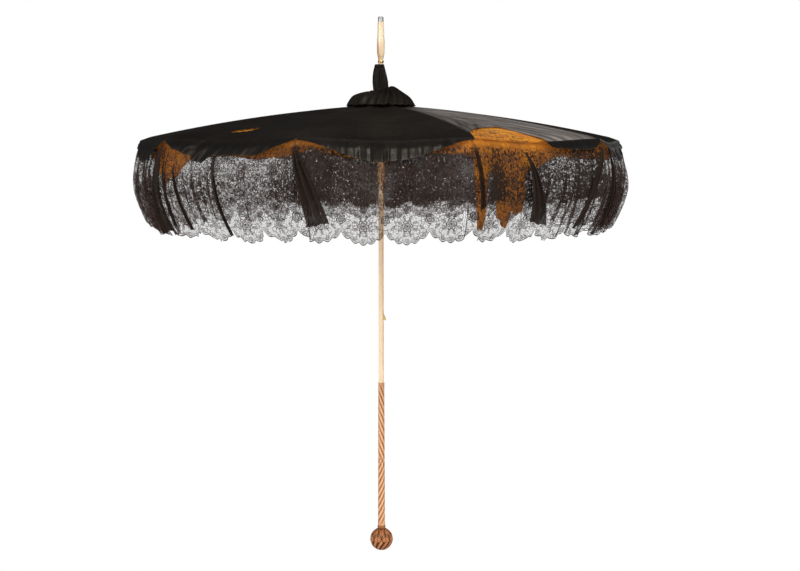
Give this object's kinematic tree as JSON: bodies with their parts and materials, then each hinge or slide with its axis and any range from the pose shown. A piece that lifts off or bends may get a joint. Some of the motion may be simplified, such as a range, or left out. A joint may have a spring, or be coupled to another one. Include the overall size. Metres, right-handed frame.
{
  "type": "parasol",
  "caption": "Open folding lace parasol: wooden stick with fluted handle and ball knob, rib frame with runner and stretchers, satin cover and hanging lace flounce.",
  "frame": {"origin": "under the ball knob, on the stick's axis", "axes": "+Z along the stick towards the ferrule; rib 1 points along +X"},
  "size_m": [0.8, 0.8, 0.879],
  "materials": {
    "black_satin": "worn satin",
    "amber_silk": "silk",
    "black_lace": "net",
    "pale_wood": "varnished",
    "fluted_wood": "varnished",
    "carved_wood": "polished",
    "bone": "polished bone",
    "cap_metal": "worn",
    "brass": "aged",
    "dark_steel": "japanned",
    "bright_steel": "worn"
  },
  "bodies": {
    "stick_body": {"stick": "pale_wood", "handle": "fluted_wood", "knob": "carved_wood", "knob_collar": "carved_wood", "ferrule": "bone", "ferrule_cap": "cap_metal", "ferrule_ring": "brass", "neck_sleeve": "black_satin", "rosette": "black_satin", "top_notch": "brass", "notch_wire": "bright_steel", "stop_pin": "bright_steel"},
    "runner_body": {"runner": "bright_steel", "runner_wire": "bright_steel"},
    "top_spring_body": {"top_spring": "dark_steel"},
    "bottom_spring_body": {"bottom_spring": "dark_steel"},
    "rib_1_body": {"rib_1": "dark_steel", "cover_1": "black_satin"},
    "stretcher_1_body": {"stretcher_1": "dark_steel"},
    "flounce_1_body": {"flounce_1": "black_lace"},
    "rib_2_body": {"rib_2": "dark_steel", "cover_2": "black_satin"},
    "stretcher_2_body": {"stretcher_2": "dark_steel"},
    "flounce_2_body": {"flounce_2": "black_lace"},
    "rib_3_body": {"rib_3": "dark_steel", "cover_3": "black_satin"},
    "stretcher_3_body": {"stretcher_3": "dark_steel"},
    "flounce_3_body": {"flounce_3": "black_lace"},
    "rib_4_body": {"rib_4": "dark_steel", "cover_4": "black_satin"},
    "stretcher_4_body": {"stretcher_4": "dark_steel"},
    "flounce_4_body": {"flounce_4": "black_lace"},
    "rib_5_body": {"rib_5": "dark_steel", "cover_5": "black_satin"},
    "stretcher_5_body": {"stretcher_5": "dark_steel"},
    "flounce_5_body": {"flounce_5": "black_lace"},
    "rib_6_body": {"rib_6": "dark_steel", "cover_6": "black_satin"},
    "stretcher_6_body": {"stretcher_6": "dark_steel"},
    "flounce_6_body": {"flounce_6": "black_lace"},
    "rib_7_body": {"rib_7": "dark_steel", "cover_7": "black_satin"},
    "stretcher_7_body": {"stretcher_7": "dark_steel"},
    "flounce_7_body": {"flounce_7": "black_lace"},
    "rib_8_body": {"rib_8": "dark_steel", "cover_8": "black_satin"},
    "stretcher_8_body": {"stretcher_8": "dark_steel"},
    "flounce_8_body": {"flounce_8": "black_lace"},
    "rib_9_body": {"rib_9": "dark_steel", "cover_9": "black_satin"},
    "stretcher_9_body": {"stretcher_9": "dark_steel"},
    "flounce_9_body": {"flounce_9": "black_lace"},
    "rib_10_body": {"rib_10": "dark_steel", "cover_10": "black_satin"},
    "stretcher_10_body": {"stretcher_10": "dark_steel"},
    "flounce_10_body": {"flounce_10": "black_lace"}
  },
  "joints": [
    {"name": "runner_slide", "type": "slide", "parent": "stick_body", "child": "runner_body", "axis": [0, 0, -1], "range_m": [0, 0.25356]},
    {"name": "top_spring_press", "type": "slide", "parent": "stick_body", "child": "top_spring_body", "axis": [-0.9511, 0.309, 0], "range_m": [0, 0.0042], "stiffness_N_per_m": 400, "springref_m": -0.002},
    {"name": "bottom_spring_press", "type": "slide", "parent": "stick_body", "child": "bottom_spring_body", "axis": [-0.9511, 0.309, 0], "range_m": [0, 0.0042], "stiffness_N_per_m": 400, "springref_m": -0.002},
    {"name": "rib_1_fold", "type": "hinge", "parent": "stick_body", "child": "rib_1_body", "pos_m": [0.0075, 0, 0.7335], "axis": [0, 1, 0], "range_deg": [0, 80], "deforming": ["cover_1"]},
    {"name": "stretcher_1_fold", "type": "hinge", "parent": "rib_1_body", "child": "stretcher_1_body", "pos_m": [0.17, 0, 0.71485], "axis": [0, 1, 0], "range_deg": [-145.16, 0]},
    {"name": "flounce_1_hang", "type": "hinge", "parent": "rib_1_body", "child": "flounce_1_body", "pos_m": [0.386, 0, 0.68263], "axis": [0, 1, 0], "range_deg": [-74, 0], "deforming": ["flounce_1"]},
    {"name": "rib_2_fold", "type": "hinge", "parent": "stick_body", "child": "rib_2_body", "pos_m": [0.00607, 0.00441, 0.7335], "axis": [-0.5878, 0.809, 0], "range_deg": [0, 80], "deforming": ["cover_2"]},
    {"name": "stretcher_2_fold", "type": "hinge", "parent": "rib_2_body", "child": "stretcher_2_body", "pos_m": [0.13753, 0.09992, 0.71485], "axis": [-0.5878, 0.809, 0], "range_deg": [-145.16, 0]},
    {"name": "flounce_2_hang", "type": "hinge", "parent": "rib_2_body", "child": "flounce_2_body", "pos_m": [0.31228, 0.22689, 0.68263], "axis": [-0.5878, 0.809, 0], "range_deg": [-74, 0], "deforming": ["flounce_2"]},
    {"name": "rib_3_fold", "type": "hinge", "parent": "stick_body", "child": "rib_3_body", "pos_m": [0.00232, 0.00713, 0.7335], "axis": [-0.9511, 0.309, 0], "range_deg": [0, 80], "deforming": ["cover_3"]},
    {"name": "stretcher_3_fold", "type": "hinge", "parent": "rib_3_body", "child": "stretcher_3_body", "pos_m": [0.05253, 0.16168, 0.71485], "axis": [-0.9511, 0.309, 0], "range_deg": [-145.16, 0]},
    {"name": "flounce_3_hang", "type": "hinge", "parent": "rib_3_body", "child": "flounce_3_body", "pos_m": [0.11928, 0.36711, 0.68263], "axis": [-0.9511, 0.309, 0], "range_deg": [-74, 0], "deforming": ["flounce_3"]},
    {"name": "rib_4_fold", "type": "hinge", "parent": "stick_body", "child": "rib_4_body", "pos_m": [-0.00232, 0.00713, 0.7335], "axis": [-0.9511, -0.309, 0], "range_deg": [0, 80], "deforming": ["cover_4"]},
    {"name": "stretcher_4_fold", "type": "hinge", "parent": "rib_4_body", "child": "stretcher_4_body", "pos_m": [-0.05253, 0.16168, 0.71485], "axis": [-0.9511, -0.309, 0], "range_deg": [-145.16, 0]},
    {"name": "flounce_4_hang", "type": "hinge", "parent": "rib_4_body", "child": "flounce_4_body", "pos_m": [-0.11928, 0.36711, 0.68263], "axis": [-0.9511, -0.309, 0], "range_deg": [-74, 0], "deforming": ["flounce_4"]},
    {"name": "rib_5_fold", "type": "hinge", "parent": "stick_body", "child": "rib_5_body", "pos_m": [-0.00607, 0.00441, 0.7335], "axis": [-0.5878, -0.809, 0], "range_deg": [0, 80], "deforming": ["cover_5"]},
    {"name": "stretcher_5_fold", "type": "hinge", "parent": "rib_5_body", "child": "stretcher_5_body", "pos_m": [-0.13753, 0.09992, 0.71485], "axis": [-0.5878, -0.809, 0], "range_deg": [-145.16, 0]},
    {"name": "flounce_5_hang", "type": "hinge", "parent": "rib_5_body", "child": "flounce_5_body", "pos_m": [-0.31228, 0.22689, 0.68263], "axis": [-0.5878, -0.809, 0], "range_deg": [-74, 0], "deforming": ["flounce_5"]},
    {"name": "rib_6_fold", "type": "hinge", "parent": "stick_body", "child": "rib_6_body", "pos_m": [-0.0075, 0, 0.7335], "axis": [0, -1, 0], "range_deg": [0, 80], "deforming": ["cover_6"]},
    {"name": "stretcher_6_fold", "type": "hinge", "parent": "rib_6_body", "child": "stretcher_6_body", "pos_m": [-0.17, 0, 0.71485], "axis": [0, -1, 0], "range_deg": [-145.16, 0]},
    {"name": "flounce_6_hang", "type": "hinge", "parent": "rib_6_body", "child": "flounce_6_body", "pos_m": [-0.386, 0, 0.68263], "axis": [0, -1, 0], "range_deg": [-74, 0], "deforming": ["flounce_6"]},
    {"name": "rib_7_fold", "type": "hinge", "parent": "stick_body", "child": "rib_7_body", "pos_m": [-0.00607, -0.00441, 0.7335], "axis": [0.5878, -0.809, 0], "range_deg": [0, 80], "deforming": ["cover_7"]},
    {"name": "stretcher_7_fold", "type": "hinge", "parent": "rib_7_body", "child": "stretcher_7_body", "pos_m": [-0.13753, -0.09992, 0.71485], "axis": [0.5878, -0.809, 0], "range_deg": [-145.16, 0]},
    {"name": "flounce_7_hang", "type": "hinge", "parent": "rib_7_body", "child": "flounce_7_body", "pos_m": [-0.31228, -0.22689, 0.68263], "axis": [0.5878, -0.809, 0], "range_deg": [-74, 0], "deforming": ["flounce_7"]},
    {"name": "rib_8_fold", "type": "hinge", "parent": "stick_body", "child": "rib_8_body", "pos_m": [-0.00232, -0.00713, 0.7335], "axis": [0.9511, -0.309, 0], "range_deg": [0, 80], "deforming": ["cover_8"]},
    {"name": "stretcher_8_fold", "type": "hinge", "parent": "rib_8_body", "child": "stretcher_8_body", "pos_m": [-0.05253, -0.16168, 0.71485], "axis": [0.9511, -0.309, 0], "range_deg": [-145.16, 0]},
    {"name": "flounce_8_hang", "type": "hinge", "parent": "rib_8_body", "child": "flounce_8_body", "pos_m": [-0.11928, -0.36711, 0.68263], "axis": [0.9511, -0.309, 0], "range_deg": [-74, 0], "deforming": ["flounce_8"]},
    {"name": "rib_9_fold", "type": "hinge", "parent": "stick_body", "child": "rib_9_body", "pos_m": [0.00232, -0.00713, 0.7335], "axis": [0.9511, 0.309, 0], "range_deg": [0, 80], "deforming": ["cover_9"]},
    {"name": "stretcher_9_fold", "type": "hinge", "parent": "rib_9_body", "child": "stretcher_9_body", "pos_m": [0.05253, -0.16168, 0.71485], "axis": [0.9511, 0.309, 0], "range_deg": [-145.16, 0]},
    {"name": "flounce_9_hang", "type": "hinge", "parent": "rib_9_body", "child": "flounce_9_body", "pos_m": [0.11928, -0.36711, 0.68263], "axis": [0.9511, 0.309, 0], "range_deg": [-74, 0], "deforming": ["flounce_9"]},
    {"name": "rib_10_fold", "type": "hinge", "parent": "stick_body", "child": "rib_10_body", "pos_m": [0.00607, -0.00441, 0.7335], "axis": [0.5878, 0.809, 0], "range_deg": [0, 80], "deforming": ["cover_10"]},
    {"name": "stretcher_10_fold", "type": "hinge", "parent": "rib_10_body", "child": "stretcher_10_body", "pos_m": [0.13753, -0.09992, 0.71485], "axis": [0.5878, 0.809, 0], "range_deg": [-145.16, 0]},
    {"name": "flounce_10_hang", "type": "hinge", "parent": "rib_10_body", "child": "flounce_10_body", "pos_m": [0.31228, -0.22689, 0.68263], "axis": [0.5878, 0.809, 0], "range_deg": [-74, 0], "deforming": ["flounce_10"]}
  ],
  "couplings": [
    {"joint": "rib_1_fold", "follows": "runner_slide", "rad_per_m": 5.5029},
    {"joint": "stretcher_1_fold", "follows": "runner_slide", "rad_per_m": -9.988},
    {"joint": "flounce_1_hang", "follows": "runner_slide", "rad_per_m": -5.0899},
    {"joint": "rib_2_fold", "follows": "runner_slide", "rad_per_m": 5.5029},
    {"joint": "stretcher_2_fold", "follows": "runner_slide", "rad_per_m": -9.988},
    {"joint": "flounce_2_hang", "follows": "runner_slide", "rad_per_m": -5.0899},
    {"joint": "rib_3_fold", "follows": "runner_slide", "rad_per_m": 5.5029},
    {"joint": "stretcher_3_fold", "follows": "runner_slide", "rad_per_m": -9.988},
    {"joint": "flounce_3_hang", "follows": "runner_slide", "rad_per_m": -5.0899},
    {"joint": "rib_4_fold", "follows": "runner_slide", "rad_per_m": 5.5029},
    {"joint": "stretcher_4_fold", "follows": "runner_slide", "rad_per_m": -9.988},
    {"joint": "flounce_4_hang", "follows": "runner_slide", "rad_per_m": -5.0899},
    {"joint": "rib_5_fold", "follows": "runner_slide", "rad_per_m": 5.5029},
    {"joint": "stretcher_5_fold", "follows": "runner_slide", "rad_per_m": -9.988},
    {"joint": "flounce_5_hang", "follows": "runner_slide", "rad_per_m": -5.0899},
    {"joint": "rib_6_fold", "follows": "runner_slide", "rad_per_m": 5.5029},
    {"joint": "stretcher_6_fold", "follows": "runner_slide", "rad_per_m": -9.988},
    {"joint": "flounce_6_hang", "follows": "runner_slide", "rad_per_m": -5.0899},
    {"joint": "rib_7_fold", "follows": "runner_slide", "rad_per_m": 5.5029},
    {"joint": "stretcher_7_fold", "follows": "runner_slide", "rad_per_m": -9.988},
    {"joint": "flounce_7_hang", "follows": "runner_slide", "rad_per_m": -5.0899},
    {"joint": "rib_8_fold", "follows": "runner_slide", "rad_per_m": 5.5029},
    {"joint": "stretcher_8_fold", "follows": "runner_slide", "rad_per_m": -9.988},
    {"joint": "flounce_8_hang", "follows": "runner_slide", "rad_per_m": -5.0899},
    {"joint": "rib_9_fold", "follows": "runner_slide", "rad_per_m": 5.5029},
    {"joint": "stretcher_9_fold", "follows": "runner_slide", "rad_per_m": -9.988},
    {"joint": "flounce_9_hang", "follows": "runner_slide", "rad_per_m": -5.0899},
    {"joint": "rib_10_fold", "follows": "runner_slide", "rad_per_m": 5.5029},
    {"joint": "stretcher_10_fold", "follows": "runner_slide", "rad_per_m": -9.988},
    {"joint": "flounce_10_hang", "follows": "runner_slide", "rad_per_m": -5.0899}
  ]
}
